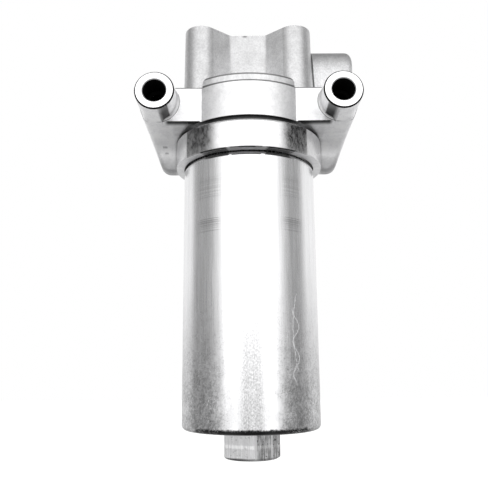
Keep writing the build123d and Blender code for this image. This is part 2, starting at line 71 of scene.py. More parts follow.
# ------------------------------------------------------------------ node helpers
class Tree:
    """Short names for building a shader tree."""

    def __init__(self, tree):
        self.t = tree
        self.t.nodes.clear()

    def node(self, kind, **props):
        n = self.t.nodes.new(kind)
        for k, v in props.items():
            setattr(n, k, v)
        return n

    def link(self, a, b):
        self.t.links.new(a, b)

    def put(self, socket, value):
        if isinstance(value, bpy.types.NodeSocket):
            self.link(value, socket)
        else:
            socket.default_value = value

    def math(self, op, a, b=None, c=None, clamp=False):
        n = self.node("ShaderNodeMath", operation=op, use_clamp=clamp)
        self.put(n.inputs[0], a)
        if b is not None:
            self.put(n.inputs[1], b)
        if c is not None:
            self.put(n.inputs[2], c)
        return n.outputs[0]

    def ramp(self, x, a, b, lo=0.0, hi=1.0, smooth=True):
        n = self.node("ShaderNodeMapRange", interpolation_type="SMOOTHSTEP" if smooth else "LINEAR")
        self.put(n.inputs["Value"], x)
        n.inputs["From Min"].default_value = a
        n.inputs["From Max"].default_value = b
        n.inputs["To Min"].default_value = lo
        n.inputs["To Max"].default_value = hi
        return n.outputs[0]

    def window(self, x, a, b, soft):
        """1 between a and b, 0 outside, with soft sides."""
        return self.math("MULTIPLY", self.ramp(x, a - soft, a + soft), self.ramp(x, b + soft, b - soft))

    def mix(self, f, a, b):
        n = self.node("ShaderNodeMix", data_type="FLOAT", clamp_factor=True)
        self.put(n.inputs["Factor"], f)
        self.put(n.inputs["A"], a)
        self.put(n.inputs["B"], b)
        return n.outputs["Result"]

    def mix_color(self, f, a, b, blend="MIX"):
        n = self.node("ShaderNodeMix", data_type="RGBA", blend_type=blend, clamp_factor=True)
        self.put(n.inputs["Factor"], f)
        self.put(n.inputs["A"], a)
        self.put(n.inputs["B"], b)
        return n.outputs["Result"]

    def xyz(self, v):
        n = self.node("ShaderNodeSeparateXYZ")
        self.link(v, n.inputs[0])
        return n.outputs

    def vec(self, x, y, z):
        n = self.node("ShaderNodeCombineXYZ")
        for s, v in zip(n.inputs, (x, y, z)):
            self.put(s, v)
        return n.outputs[0]

    def noise(self, v, scale=1.0, detail=2.0, rough=0.5, distort=0.0, dims="3D"):
        n = self.node("ShaderNodeTexNoise", noise_dimensions=dims)
        if dims == "1D":
            self.put(n.inputs["W"], v)
        else:
            self.put(n.inputs["Vector"], v)
        n.inputs["Scale"].default_value = scale
        n.inputs["Detail"].default_value = detail
        n.inputs["Roughness"].default_value = rough
        n.inputs["Distortion"].default_value = distort
        return n.outputs["Fac"]

    def voronoi(self, v, scale=1.0, feature="F1", randomness=1.0):
        n = self.node("ShaderNodeTexVoronoi", feature=feature)
        self.put(n.inputs["Vector"], v)
        n.inputs["Scale"].default_value = scale
        n.inputs["Randomness"].default_value = randomness
        return n.outputs["Distance"]

    def bump(self, height, distance, strength=1.0, normal=None):
        n = self.node("ShaderNodeBump")
        self.put(n.inputs["Height"], height)
        n.inputs["Distance"].default_value = distance
        self.put(n.inputs["Strength"], strength)
        if normal is not None:
            self.link(normal, n.inputs["Normal"])
        return n.outputs[0]

    def bevel(self, radius, samples=6):
        n = self.node("ShaderNodeBevel", samples=samples)
        n.inputs["Radius"].default_value = radius
        return n.outputs[0]

    def crevice(self, distance, samples=8, inside=False):
        n = self.node("ShaderNodeAmbientOcclusion", samples=samples, only_local=True, inside=inside)
        n.inputs["Distance"].default_value = distance
        return n.outputs["AO"]


def material(name):
    m = bpy.data.materials.new(name)
    m.use_nodes = True
    t = Tree(m.node_tree)
    out = t.node("ShaderNodeOutputMaterial")
    p = t.node("ShaderNodeBsdfPrincipled")
    t.link(p.outputs[0], out.inputs["Surface"])
    coord = t.node("ShaderNodeTexCoord").outputs["Object"]
    return m, t, p, coord


def give(node, mat):
    o = nodes[node]
    o.data.materials.clear()
    o.data.materials.append(mat)


# ------------------------------------------------------------------ head: cast aluminium
cast, t, p, co = material("cast_aluminium_head")
x, y, z = t.xyz(co)
xm, ym = t.math("MULTIPLY", x, 1000.0), t.math("MULTIPLY", y, 1000.0)
hmm = t.math("MULTIPLY_ADD", z, 1000.0, 74.0)       # mm above the collar's bottom face
axm = t.math("ABSOLUTE", xm)
rm = t.math("SQRT", t.math("ADD", t.math("MULTIPLY", xm, xm), t.math("MULTIPLY", ym, ym)))
turn = t.math("MULTIPLY", t.math("ARCTAN2", xm, t.math("MULTIPLY", ym, -1.0)), 180.0 / math.pi)
aturn = t.math("ABSOLUTE", turn)                    # degrees round the head, 0 at the front
grain = t.noise(co, 2300.0, 3.0, 0.6)
cells = t.voronoi(co, 1300.0)
broad = t.noise(co, 90.0, 4.0, 0.6)
stain = t.noise(co, 260.0, 5.0, 0.65, 0.4)
mottle = t.noise(t.vec(xm, t.math("MULTIPLY", ym, 0.6), t.math("MULTIPLY", hmm, 0.55)), 0.55, 5.0, 0.68)
fleck = t.noise(co, 1100.0, 4.0, 0.7)
port_dx = t.math("SUBTRACT", axm, 46.6)
port_dz = t.math("SUBTRACT", hmm, 28.65)
port_r = t.math("SQRT", t.math("ADD", t.math("MULTIPLY", port_dx, port_dx), t.math("MULTIPLY", port_dz, port_dz)))
at_port = t.math("MULTIPLY", t.ramp(ym, -40.9, -41.3), t.ramp(port_r, 10.3, 10.0))
at_top = t.ramp(hmm, 73.7, 73.9)
machined = t.math("MAXIMUM", at_port, at_top)
on_collar = t.math("MULTIPLY", t.window(hmm, -1.0, 14.9, 0.2), t.math("MULTIPLY", t.ramp(rm, 38.9, 39.2), t.ramp(rm, 39.8, 39.6)))
rings = t.noise(t.math("MULTIPLY", port_r, 5.2), 1.0, 2.0, 0.5, dims="1D")
rough = t.ramp(broad, 0.3, 0.7, 0.40, 0.50)
rough = t.mix(on_collar, rough, t.ramp(mottle, 0.3, 0.7, 0.26, 0.36))
rough = t.mix(machined, rough, 0.22)
rough = t.mix(t.math("MULTIPLY", t.ramp(axm, 38.5, 40.5), t.ramp(hmm, 18.5, 17.0)), rough, 0.60)
p.inputs["Metallic"].default_value = 1.0
tone = t.ramp(stain, 0.30, 0.72, 0.80, 0.92)
tone = t.math("MULTIPLY", tone, t.ramp(fleck, 0.34, 0.50, 0.92, 1.0))
block = t.math("MULTIPLY", t.ramp(hmm, 36.4, 36.9), t.ramp(ym, -28.0, -26.8))
boss = t.math("MULTIPLY", t.math("MULTIPLY", t.ramp(xm, 34.9, 35.4), t.ramp(hmm, 36.6, 37.2)), t.ramp(ym, -20.0, -18.0))
rough = t.mix(t.math("MULTIPLY", boss, t.ramp(hmm, 66.0, 60.0)), rough, 0.70)
tone = t.math("MULTIPLY", tone, t.mix(t.math("MULTIPLY", block, t.ramp(fleck, 0.62, 0.46)), 1.0, 0.90))
# painted shade and light: the block painted darker except on its two slanted flats, and the boss painted darker at its
# top and lighter low down
tone = t.math("MULTIPLY", tone, t.mix(block, 1.0, t.mix(boss, t.mix(t.window(axm, 9.6, 18.6, 0.5), 0.79, 0.98), t.ramp(hmm, 64.0, 52.0, 0.66, 1.16))))
# painted shade and light: the web under each wing darker towards its foot and lighter towards the top
web = t.math("MULTIPLY", t.ramp(axm, 38.5, 40.5), t.ramp(hmm, 18.2, 17.4))
tone = t.math("MULTIPLY", tone, t.mix(web, 1.0, t.ramp(hmm, 2.0, 11.0, 0.70, 1.15)))
# the bar's top is milled and clean
bar_top = t.math("MULTIPLY", t.window(hmm, 36.0, 36.9, 0.1), t.math("MULTIPLY", t.ramp(ym, -27.3, -26.9), t.ramp(axm, 33.5, 34.5)))
tone = t.mix(bar_top, tone, 0.95)
rough = t.mix(bar_top, rough, 0.26)
# tubes: painted shade along the inner underside of each, and a painted lighter band along the underside itself
tube_turn = t.math("MULTIPLY", t.math("ARCTAN2", port_dz, port_dx), 180.0 / math.pi)
on_tube = t.math("MULTIPLY", t.ramp(ym, -28.6, -29.4), t.math("MULTIPLY", t.ramp(port_r, 8.9, 9.3), t.ramp(port_r, 11.6, 11.0)))
right_side = t.math("GREATER_THAN", xm, 0.0)
left_tube_shade = t.math("MULTIPLY", t.ramp(tube_turn, -133.0, -128.0), t.ramp(tube_turn, -96.0, -112.0))
right_tube_shade = t.math("MULTIPLY", t.ramp(tube_turn, -142.0, -136.0), t.ramp(tube_turn, -102.0, -116.0))
tone = t.math("MULTIPLY", tone, t.mix(t.math("MULTIPLY", on_tube, t.ramp(port_dz, -3.0, -6.0)), 1.0, 1.13))
tube_shade = t.math("MULTIPLY", on_tube, t.mix(right_side, left_tube_shade, right_tube_shade))
tube_shade = t.math("MULTIPLY", tube_shade, t.ramp(ym, -41.5, -33.0, 0.72, 1.0))
tone = t.math("MULTIPLY", tone, t.mix(tube_shade, 1.0, t.mix(right_side, 0.16, 0.07)))
# painted shade: a dark line where each tube's root meets the front face, and along that face's lower edge
front_face = t.ramp(ym, -27.9, -28.15)
root_shade = t.math("MULTIPLY", t.window(port_r, 10.95, 11.35, 0.12), t.math("MULTIPLY", t.ramp(ym, -29.2, -28.7), front_face))
root_shade = t.math("MULTIPLY", root_shade, t.math("MAXIMUM", t.ramp(tube_turn, 150.0, 165.0), t.ramp(tube_turn, -80.0, -110.0)))
root_shade = t.math("MULTIPLY", root_shade, t.ramp(ym, -41.0, -40.0))
tone = t.math("MULTIPLY", tone, t.mix(root_shade, 1.0, 0.30))
under_edge_shade = t.math("MULTIPLY", t.ramp(hmm, 18.15, 17.95), t.ramp(hmm, 15.6, 17.35))
under_edge_shade = t.math("MULTIPLY", under_edge_shade, t.math("MULTIPLY", t.ramp(ym, -23.5, -27.6), t.math("MULTIPLY", t.ramp(axm, 43.5, 41.0), t.ramp(axm, 20.0, 24.0))))
under_edge_shade = t.math("MULTIPLY", under_edge_shade, t.ramp(rm, 37.6, 37.9))
tone = t.math("MULTIPLY", tone, t.mix(under_edge_shade, 1.0, 0.07))
# painted shade: dark lines at the edge of the bar's top and at the pad's top edge, the two edges of the pad's front
# band, and the band itself painted darker and mottled
top_line = t.math("MULTIPLY", t.window(hmm, 35.7, 36.75, 0.08), t.math("MULTIPLY", t.ramp(ym, -27.6, -28.0), t.ramp(port_r, 11.3, 11.6)))
pad_dy = t.math("SUBTRACT", ym, 3.5)
pad_rad = t.math("SQRT", t.math("ADD", t.math("MULTIPLY", xm, xm), t.math("MULTIPLY", pad_dy, pad_dy)))
pad_front = t.math("MULTIPLY", t.math("MULTIPLY", t.ramp(ym, -28.6, -29.1), t.ramp(axm, 24.6, 24.2)), t.ramp(pad_rad, 39.55, 39.8))
pad_band = t.math("MULTIPLY", t.window(hmm, 36.6, 39.8, 0.1), pad_front)
pad_line = t.math("MULTIPLY", t.window(hmm, 39.6, 41.0, 0.1), pad_front)
tone = t.math("MULTIPLY", tone, t.mix(t.math("MAXIMUM", top_line, pad_line), 1.0, 0.27))
tone = t.math("MULTIPLY", tone, t.mix(pad_band, 1.0, t.ramp(mottle, 0.35, 0.6, 0.78, 0.90)))
# painted shade: darker patches on the collar's sides, with scribbled lines on the right
left_collar_shade = t.math("MULTIPLY", t.ramp(turn, -55.0, -53.0), t.ramp(turn, -23.0, -33.0))
right_collar_shade = t.math("MULTIPLY", t.ramp(turn, 22.0, 31.0), t.ramp(turn, 49.0, 47.0))
collar_shade = t.math("MULTIPLY", t.math("MAXIMUM", left_collar_shade, right_collar_shade), on_collar)
scribble = t.ramp(t.math("ABSOLUTE", t.math("SUBTRACT", t.noise(t.vec(xm, ym, t.math("MULTIPLY", hmm, 0.8)), 0.7, 3.0, 0.6, 1.2), 0.5)), 0.035, 0.008)
collar_shade = t.math("MULTIPLY", collar_shade, t.math("MULTIPLY", t.ramp(mottle, 0.34, 0.66, 1.0, 0.62), t.ramp(hmm, 0.6, 5.0, 0.70, 1.0)))
collar_shade = t.math("MULTIPLY", collar_shade, t.mix(t.math("MULTIPLY", scribble, right_side), 1.0, 0.70))
tone = t.math("MULTIPLY", tone, t.mix(collar_shade, 1.0, t.mix(right_side, 0.13, 0.04)))
# painted shade: the collar darker again towards its far sides
tone = t.math("MULTIPLY", tone, t.mix(t.math("MULTIPLY", on_collar, t.ramp(aturn, 48.0, 56.0)), 1.0, 0.84))
tone = t.mix(machined, tone, 0.92)
# painted shade in the seam between the block and the boss and in two casting dimples; a nick in the top edge
seam_x = t.math("SUBTRACT", xm, t.math("MULTIPLY", t.math("SUBTRACT", 66.0, hmm), 0.045))
seam = t.math("MULTIPLY", t.window(seam_x, 34.4, 35.4, 0.15), t.math("MULTIPLY", t.window(hmm, 37.0, 66.5, 0.6), t.ramp(ym, -3.0, -4.0)))
tone = t.math("MULTIPLY", tone, t.mix(seam, 1.0, 0.22))
dimple_a = t.math("MULTIPLY", t.window(xm, -46.4, -44.0, 0.35), t.window(hmm, 11.7, 12.5, 0.25))
dimple_b = t.math("MULTIPLY", t.window(xm, -45.4, -43.6, 0.35), t.window(hmm, 9.0, 9.7, 0.25))
dimple_shade = t.math("MULTIPLY", t.math("MAXIMUM", dimple_a, dimple_b), t.ramp(ym, -1.0, -2.0))
tone = t.math("MULTIPLY", tone, t.mix(dimple_shade, 1.0, 0.62))
nick = t.math("MULTIPLY", t.window(xm, -3.4, 0.3, 0.4), t.math("MULTIPLY", t.ramp(hmm, 72.5, 73.6), t.ramp(ym, -12.6, -13.2)))
tone = t.math("MULTIPLY", tone, t.mix(t.math("MULTIPLY", nick, t.ramp(t.math("ABSOLUTE", t.math("ADD", xm, 1.6)), 1.9, 0.3)), 1.0, 0.35))
# painted shade: the chamfer round each port painted dark, near black below
rim_shade = t.math("MULTIPLY", t.ramp(port_r, 9.12, 9.3), t.math("MULTIPLY", t.ramp(port_r, 10.4, 10.1), t.ramp(ym, -41.0, -41.2)))
tone = t.mix(rim_shade, tone, t.ramp(port_dz, 4.0, -3.5, 0.10, 0.02))
arc_mark = t.math("MULTIPLY", t.window(port_r, 8.45, 8.65, 0.08), t.math("MULTIPLY", t.window(tube_turn, -142.0, -98.0, 4.0), at_port))
tone = t.math("MULTIPLY", tone, t.mix(arc_mark, 1.0, 0.45))
# collar foot: painted shade lines and a painted dark underside ring, with two unshaded gaps
shut = t.math("MAXIMUM", t.window(turn, -39.0, -17.0, 0.8), t.window(turn, 13.5, 36.0, 0.8))
middle = t.window(turn, -8.5, 5.0, 1.5)
unshaded_gap = t.math("MAXIMUM", t.window(turn, -16.2, -14.2, 0.5), t.window(turn, 9.2, 12.2, 0.5))
foot_edge = t.math("MULTIPLY", t.window(hmm, -0.2, 0.36, 0.06), t.ramp(rm, 38.5, 38.8))
foot_shade = t.math("MULTIPLY", foot_edge, t.math("MULTIPLY", t.math("MAXIMUM", t.math("MAXIMUM", shut, middle), t.ramp(aturn, 46.0, 30.0, 0.0, 0.55)), t.math("SUBTRACT", 1.0, unshaded_gap)))
tone = t.math("MULTIPLY", tone, t.mix(foot_shade, 1.0, 0.05))
foot_ring = t.math("MULTIPLY", t.ramp(hmm, 0.12, 0.05), t.math("MULTIPLY", t.ramp(rm, 38.9, 38.7), t.ramp(rm, 34.8, 35.0)))
ring_lines = t.ramp(t.noise(t.math("MULTIPLY", rm, 2.6), 1.0, 1.0, 0.5, dims="1D"), 0.44, 0.54)
tone = t.math("MULTIPLY", tone, t.mix(t.math("MULTIPLY", foot_ring, shut), 1.0, t.mix(ring_lines, 0.10, 0.85)))
# painted shade in the groove over the collar and, from ambient occlusion, in the seams
groove_shade = t.math("MULTIPLY", t.window(hmm, 14.75, 17.62, 0.05), t.ramp(rm, 38.6, 37.6))
groove_shade = t.math("MULTIPLY", groove_shade, t.ramp(aturn, 52.0, 34.0))
tone = t.math("MULTIPLY", tone, t.mix(groove_shade, 1.0, 0.10))
ao = t.crevice(0.0022)
tone = t.math("MULTIPLY", tone, t.ramp(ao, 0.25, 0.85, 0.25, 1.0))
# painted shade: the ports' bores, the head's bore and the collar's mouth painted near black
in_port = t.math("MULTIPLY", t.ramp(port_r, 6.15, 5.95), t.math("MULTIPLY", t.ramp(ym, -41.75, -41.2), t.ramp(ym, -17.0, -19.0)))
inside = t.math("MULTIPLY", t.ramp(rm, 34.9, 34.7), t.ramp(hmm, 22.6, 22.4))
bores = t.math("MAXIMUM", in_port, inside)
tone = t.mix(in_port, tone, 0.012)
tone = t.mix(inside, tone, 0.30)
tone = t.mix(t.math("MULTIPLY", t.ramp(rm, 35.2, 35.1), t.ramp(hmm, 3.0, 2.0)), tone, 0.03)
t.link(t.vec(tone, tone, t.math("MULTIPLY", tone, 1.008)), p.inputs["Base Color"])
t.link(t.mix(in_port, rough, 0.75), p.inputs["Roughness"])
edge = t.bevel(0.00035)
h = t.math("ADD", t.math("MULTIPLY", grain, 0.6), t.math("MULTIPLY", cells, 0.5))
n1 = t.bump(h, 0.00006, t.mix(t.math("MAXIMUM", machined, on_collar), 0.8, 0.05), edge)
n2 = t.bump(rings, 0.00002, t.math("MULTIPLY", at_port, 0.4), n1)
t.link(n2, p.inputs["Normal"])
give("head", cast)

# ------------------------------------------------------------------ bowl: turned aluminium
turned, t, p, co = material("turned_aluminium_bowl")
x, y, z = t.xyz(co)
angle = t.math("ARCTAN2", x, t.math("MULTIPLY", y, -1.0))
arc = t.math("MULTIPLY", angle, 35.0)              # mm round the bowl, 0 at the front
hmm = t.math("MULTIPLY_ADD", z, 1000.0, 74.0)       # mm above the collar's bottom face
low = t.ramp(hmm, -50.0, -122.0)                    # wear grows towards the foot
foot = t.ramp(hmm, -92.0, -130.0)
streaks = t.noise(t.vec(t.math("MULTIPLY", arc, 1.9), t.math("MULTIPLY", hmm, 0.035), 0.0), 1.0, 4.0, 0.65)
fine = t.noise(t.vec(t.math("MULTIPLY", arc, 5.0), t.math("MULTIPLY", hmm, 0.15), 7.0), 1.0, 3.0, 0.65)
wide = t.noise(t.vec(t.math("MULTIPLY", arc, 0.35), t.math("MULTIPLY", hmm, 0.02), 3.0), 1.0, 3.0, 0.6)
spots = t.noise(t.vec(arc, hmm, 9.0), 1.5, 5.0, 0.74)
clouds = t.noise(t.vec(arc, hmm, 4.0), 0.16, 4.0, 0.6)
tool = t.noise(t.math("MULTIPLY", hmm, 1.15), 1.0, 2.0, 0.6, dims="1D")
bands = t.math("ADD", t.math("MULTIPLY", t.window(hmm, -23.0, -11.0, 1.2), 0.45), t.window(hmm, -39.5, -32.5, 0.6))
tool_mask = t.math("MULTIPLY", bands, t.math("MAXIMUM", t.window(arc, -28.5, -15.5, 3.0), t.window(arc, 17.5, 28.0, 3.0)))
p.inputs["Metallic"].default_value = 1.0
tone = t.ramp(streaks, 0.30, 0.70, 0.84, 0.95)
tone = t.math("MULTIPLY", tone, t.ramp(fine, 0.30, 0.70, 0.95, 1.03))
tone = t.math("MULTIPLY", tone, t.ramp(wide, 0.30, 0.70, 0.94, 1.03))
tone = t.math("MULTIPLY", tone, t.mix(t.math("MULTIPLY", tool_mask, t.ramp(tool, 0.54, 0.45)), 1.0, 0.66))
centre_patch = t.math("MULTIPLY", t.window(arc, -5.2, 5.4, 2.2), t.ramp(hmm, -50.0, -112.0))
soft_mottle = t.ramp(t.noise(t.vec(t.math("MULTIPLY", arc, 1.7), t.math("MULTIPLY", hmm, 0.9), 27.0), 1.0, 5.0, 0.75), 0.30, 0.66)
tone = t.math("MULTIPLY", tone, t.mix(t.math("MULTIPLY", centre_patch, soft_mottle), 1.0, 0.50))
blotch = t.ramp(t.noise(t.vec(arc, t.math("MULTIPLY", hmm, 0.7), 33.0), 0.95, 5.0, 0.72), 0.36, 0.62, 0.68, 1.14)
sides = t.math("MULTIPLY", t.ramp(t.math("ABSOLUTE", arc), 12.0, 18.0), t.ramp(t.math("ABSOLUTE", arc), 66.0, 40.0, 0.35, 1.0))
tone = t.math("MULTIPLY", tone, t.mix(t.math("MULTIPLY", t.ramp(hmm, -78.0, -128.0), sides), 1.0, blotch))
off_centre = t.ramp(t.math("ABSOLUTE", arc), 9.0, 15.0, 0.30, 1.0)
worn = t.math("MAXIMUM", t.math("MULTIPLY", t.math("MULTIPLY", low, off_centre), t.ramp(clouds, 0.34, 0.58)), t.math("MULTIPLY", centre_patch, 0.45))
pits = t.math("MULTIPLY", t.ramp(spots, 0.47, 0.66), worn)
tone = t.math("MULTIPLY", tone, t.mix(pits, 1.0, 0.44))
curls_n = t.noise(t.vec(arc, hmm, 1.0), 0.85, 2.0, 0.5, 0.8)
curls = t.ramp(t.math("ABSOLUTE", t.math("SUBTRACT", curls_n, 0.5)), 0.022, 0.006)
curl_place = t.ramp(t.noise(t.vec(arc, hmm, 15.0), 0.12, 3.0, 0.6), 0.48, 0.62)
curls = t.math("MULTIPLY", curls, t.math("MULTIPLY", curl_place, t.math("MULTIPLY", low, t.ramp(t.math("ABSOLUTE", arc), 13.0, 18.0))))
dots = t.math("MULTIPLY", t.ramp(t.noise(t.vec(arc, hmm, 21.0), 1.3, 2.0, 0.5), 0.66, 0.72), t.math("MULTIPLY", low, t.ramp(t.math("ABSOLUTE", arc), 13.0, 18.0)))
# one long curved scratch on the right and its tail
along = t.math("DIVIDE", t.math("ADD", hmm, 88.0), 18.0)
bow = t.math("MULTIPLY", t.math("SUBTRACT", 1.0, t.math("MULTIPLY", along, along)), -2.6)
off = t.math("SUBTRACT", t.math("SUBTRACT", arc, 23.2), t.math("ADD", bow, t.math("MULTIPLY", t.noise(hmm, 0.35, 2.0, 0.5, dims="1D"), 1.2)))
scratch = t.math("MULTIPLY", t.ramp(t.math("ABSOLUTE", off), 0.34, 0.12), t.window(hmm, -107.0, -71.0, 1.0))
scratch = t.math("MULTIPLY", scratch, t.ramp(t.noise(hmm, 0.9, 2.0, 0.5, dims="1D"), 0.40, 0.55, 0.25, 1.0))
loop_at = t.math("MULTIPLY_ADD", t.math("SINE", t.math("MULTIPLY", hmm, 0.42)), 2.0, 22.4)
loop_off = t.math("SUBTRACT", arc, t.math("ADD", loop_at, t.math("MULTIPLY", t.noise(hmm, 0.8, 2.0, 0.5, dims="1D"), 1.0)))
loops = t.math("MULTIPLY", t.ramp(t.math("ABSOLUTE", loop_off), 0.36, 0.14), t.window(hmm, -112.0, -78.0, 1.0))
scratch = t.math("MAXIMUM", scratch, t.math("MULTIPLY", loops, 0.85))
marks = t.math("MAXIMUM", t.math("MAXIMUM", curls, t.math("MULTIPLY", dots, 0.8)), scratch)
tone = t.math("MULTIPLY", tone, t.mix(t.math("MULTIPLY", t.ramp(t.math("ABSOLUTE", arc), 11.0, 17.0), low), 1.0, 0.74))
tone = t.math("MULTIPLY", tone, t.mix(t.math("MULTIPLY", foot, t.ramp(clouds, 0.3, 0.6)), 1.0, 0.84))
# painted shade: dark lines under the collar's rim and on the rim's bevel; the foot corner painted dark, dirt and
# painted shade; the hexagon is dirtier
rim_shade = t.math("MULTIPLY", t.window(hmm, -2.35, -1.75, 0.08), t.ramp(t.math("ABSOLUTE", arc), 26.0, 20.0))
shut = t.math("MAXIMUM", t.window(arc, -24.5, -10.6, 0.6), t.window(arc, 8.3, 22.0, 0.6))
bevelled = t.window(hmm, -1.88, -0.3, 0.04)
side_corner = t.ramp(t.math("ABSOLUTE", arc), 27.0, 34.0, 0.0, 1.6)
corner_top = t.math("SUBTRACT", t.math("MULTIPLY_ADD", t.noise(t.vec(arc, hmm, 2.0), 0.9, 4.0, 0.7), 3.4, -134.4), side_corner)
corner = t.math("MULTIPLY", t.ramp(t.math("SUBTRACT", hmm, corner_top), 0.5, -0.7), t.ramp(hmm, -135.75, -135.45))
corner = t.math("MULTIPLY", corner, t.ramp(t.math("ABSOLUTE", arc), 38.0, 28.0, 0.35, 1.0))
unshaded_gap = t.math("MAXIMUM", t.window(arc, -10.3, -8.9, 0.3), t.window(arc, 5.7, 7.6, 0.3))
tone = t.math("MULTIPLY", tone, t.mix(t.math("MULTIPLY", rim_shade, t.math("SUBTRACT", 1.0, unshaded_gap)), 1.0, 0.12))
bevel_lines = t.math("MAXIMUM", t.window(hmm, -1.90, -1.50, 0.06), t.window(hmm, -1.05, -0.60, 0.06))
tone = t.math("MULTIPLY", tone, t.mix(t.math("MULTIPLY", bevelled, shut), 1.0, t.mix(bevel_lines, 0.62, 0.12)))
tone = t.math("MULTIPLY", tone, t.mix(corner, 1.0, 0.07))
hexed = t.ramp(hmm, -135.4, -135.9)
hexgrain = t.noise(t.vec(t.math("MULTIPLY", x, 2600.0), t.math("MULTIPLY", y, 2600.0), t.math("MULTIPLY", hmm, 0.10)), 1.0, 4.0, 0.7)
hexcloud = t.noise(co, 330.0, 4.0, 0.7)
hx = t.math("MULTIPLY", x, 1000.0)
hex_right = t.ramp(hx, 1.4, 2.2)
hextone = t.math("MULTIPLY", t.ramp(hexgrain, 0.36, 0.66, 0.30, 0.98), t.ramp(hexcloud, 0.3, 0.7, 0.74, 1.08))
hexplain = t.math("MULTIPLY", t.ramp(hexgrain, 0.36, 0.66, 0.66, 0.84), t.ramp(hexcloud, 0.3, 0.7, 0.90, 1.04))
hextone = t.mix(hex_right, hexplain, t.math("MULTIPLY", hextone, 1.04))
hexdots = t.math("MULTIPLY", t.ramp(t.noise(co, 620.0, 3.0, 0.6), 0.60, 0.66), t.mix(hex_right, 0.35, 1.0))
hextone = t.math("MULTIPLY", hextone, t.mix(hexdots, 1.0, 0.22))
# painted highlight down the hexagon's front corner
hextone = t.mix(t.math("MULTIPLY", t.window(hx, 1.2, 2.5, 0.2), t.ramp(y, -0.0135, -0.0142)), hextone, 0.98)
hextone = t.mix(t.math("MULTIPLY", t.window(hx, 9.4, 10.3, 0.2), t.ramp(hexgrain, 0.36, 0.46)), hextone, 0.92)
hextone = t.math("MULTIPLY", hextone, t.mix(t.window(hmm, -143.4, -142.0, 0.5), 1.0, t.ramp(hexgrain, 0.36, 0.56, 1.10, 1.45)))
# painted shade along the hexagon's bottom edge, darkest at the left
hextone = t.math("MULTIPLY", hextone, t.mix(t.ramp(hmm, -147.6, -148.4), 1.0, t.ramp(x, -0.006, 0.004, 0.16, 0.6)))
tone = t.mix(t.math("MULTIPLY", marks, 0.9), tone, 0.97)
tone = t.mix(hexed, tone, hextone)
rb = t.math("MULTIPLY", t.math("SQRT", t.math("ADD", t.math("MULTIPLY", x, x), t.math("MULTIPLY", y, y))), 1000.0)
under = t.math("MULTIPLY", t.math("MULTIPLY", t.ramp(rb, 15.9, 16.2), t.ramp(rb, 34.4, 33.6)), t.ramp(hmm, -134.9, -135.4))
under_rings = t.noise(t.math("MULTIPLY", rb, 2.2), 1.0, 3.0, 0.6, dims="1D")
under_tone = t.math("MULTIPLY", t.ramp(under_rings, 0.30, 0.70, 0.66, 0.86), t.ramp(t.noise(co, 210.0, 4.0, 0.65), 0.30, 0.65, 0.78, 1.0))
tone = t.mix(under, tone, under_tone)
t.link(t.vec(tone, tone, t.math("MULTIPLY", tone, 1.01)), p.inputs["Base Color"])
rough = t.math("ADD", t.ramp(streaks, 0.3, 0.7, 0.22, 0.30), t.math("MULTIPLY", low, 0.06))
rough = t.math("ADD", rough, t.math("MULTIPLY", hexed, 0.06))
rough = t.mix(t.math("MAXIMUM", marks, bevelled), rough, 0.72)
rough = t.mix(under, rough, 0.36)
t.link(rough, p.inputs["Roughness"])
edge = t.bevel(0.0003)
n0 = t.bump(under_rings, 0.00003, t.math("MULTIPLY", under, 0.5), edge)
n1 = t.bump(streaks, 0.00004, t.math("MULTIPLY", t.mix(hexed, 0.30, 0.0), t.math("SUBTRACT", 1.0, under)), n0)
n2 = t.bump(tool, 0.00003, t.math("MULTIPLY", tool_mask, 0.6), n1)
n3 = t.bump(spots, 0.00006, t.math("MULTIPLY", low, 0.55), n2)
n4 = t.bump(hexgrain, 0.00005, t.math("MULTIPLY", hexed, 0.5), n3)
t.link(n4, p.inputs["Normal"])
give("bowl", turned)


# ------------------------------------------------------------------ inner pieces
def steel(name, tone, rough, scale=(1.0, 1.0, 1.0), grain_scale=900.0):
    m, t, p, co = material(name)
    mapping = t.node("ShaderNodeMapping")
    t.link(co, mapping.inputs["Vector"])
    mapping.inputs["Scale"].default_value = scale
    v = mapping.outputs[0]
    g = t.noise(v, grain_scale, 4.0, 0.6)
    b = t.noise(co, 70.0, 3.0, 0.6)
    p.inputs["Metallic"].default_value = 1.0
    c = t.math("MULTIPLY", t.ramp(g, 0.3, 0.7, tone * 0.88, tone * 1.08), t.ramp(b, 0.3, 0.7, 0.92, 1.04))
    t.link(t.vec(c, c, t.math("MULTIPLY", c, 1.01)), p.inputs["Base Color"])
    t.link(t.ramp(b, 0.3, 0.7, rough * 0.85, rough * 1.15), p.inputs["Roughness"])
    t.link(t.bump(g, 0.00002, 0.4, t.bevel(0.00012, 4)), p.inputs["Normal"])
    return m


pressed = steel("pressed_steel", 0.62, 0.34)
wire = steel("drawn_wire", 0.34, 0.38)
hardened = steel("turned_steel", 0.5, 0.24, (8.0, 1.0, 1.0), 300.0)
seat_steel = steel("seat_steel", 0.5, 0.26, (1.0, 1.0, 8.0), 300.0)
for n in ("element_top_cap", "element_bottom_cap", "core_tube"):
    give(n, pressed)
for n in ("element_spring", "bypass_spring"):
    give(n, wire)
for n in ("bypass_seat", "bypass_poppet", "bypass_shim", "bypass_plug", "passage_sleeve_left",
          "passage_sleeve_right", "passage_ball_left", "passage_ball_right"):
    give(n, hardened)
give("spring_seat", seat_steel)

rubber, t, p, co = material("seal_rubber")
g = t.noise(co, 1800.0, 3.0, 0.6)
c = t.ramp(g, 0.3, 0.7, 0.012, 0.022)
t.link(t.vec(c, c, c), p.inputs["Base Color"])
p.inputs["Roughness"].default_value = 0.42
t.link(t.bump(g, 0.00001, 0.4), p.inputs["Normal"])
for n in ("bowl_o_ring", "element_o_ring", "plug_o_ring"):
    give(n, rubber)

